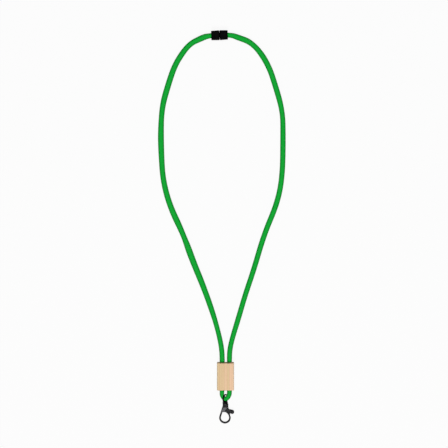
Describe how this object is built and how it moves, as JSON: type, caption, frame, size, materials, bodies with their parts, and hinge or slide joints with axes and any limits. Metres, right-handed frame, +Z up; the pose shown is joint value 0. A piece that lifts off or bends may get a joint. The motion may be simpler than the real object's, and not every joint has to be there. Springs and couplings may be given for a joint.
{
  "type": "neck lanyard with swivel hook",
  "caption": "Round-cord neck lanyard laid flat, with a snap-apart breakaway buckle at the nape, a wooden slider block and a swivel trigger hook.",
  "frame": {"origin": "middle of the wooden block's underside, on the table the lanyard lies on", "axes": "+Y along the lanyard towards the buckle, +X to the right as laid, +Z up off the table"},
  "size_m": [0.1587, 0.4913, 0.011],
  "materials": {
    "cord": "fine round braid, bright green",
    "wood": "pale bamboo, sanded and sealed",
    "buckle": "black moulded, fine matt",
    "hook": "black plated casting, satin gloss",
    "spring": "bright drawn wire"
  },
  "bodies": {
    "strap": {"cord_left": "cord", "cord_right": "cord", "wood_block": "wood", "buckle_socket": "buckle", "buckle_socket_clamp": "buckle"},
    "plug": {"buckle_plug": "buckle", "buckle_plug_clamp": "buckle"},
    "eye": {"swivel_eye": "hook"},
    "hook": {"hook_body": "hook", "gate_pin": "hook", "gate_spring": "spring"},
    "gate": {"gate": "hook"}
  },
  "joints": [
    {"name": "plug_pull", "type": "slide", "parent": "strap", "child": "plug", "axis": [0.9991, 0.0419, 0], "range_m": [0, 0.012], "deforming": ["cord_right"]},
    {"name": "eye_swing", "type": "hinge", "parent": "strap", "child": "eye", "pos_m": [-0.0003, -0.0278, 0.0055], "axis": [0.8279, -0.0785, 0.5553], "range_deg": [-60, 60]},
    {"name": "swivel_turn", "type": "hinge", "parent": "eye", "child": "hook", "pos_m": [-0.00037, -0.03212, 0.00499], "axis": [-0.0156, -0.993, -0.1171], "continuous": true},
    {"name": "gate_swing", "type": "hinge", "parent": "hook", "child": "gate", "pos_m": [0.00188, -0.03558, 0.00459], "axis": [0.0018, 0.1171, -0.9931], "range_deg": [0, 24], "stiffness_Nm_per_rad": 0.03, "springref_deg": -34.38, "deforming": ["gate_spring"]}
  ]
}
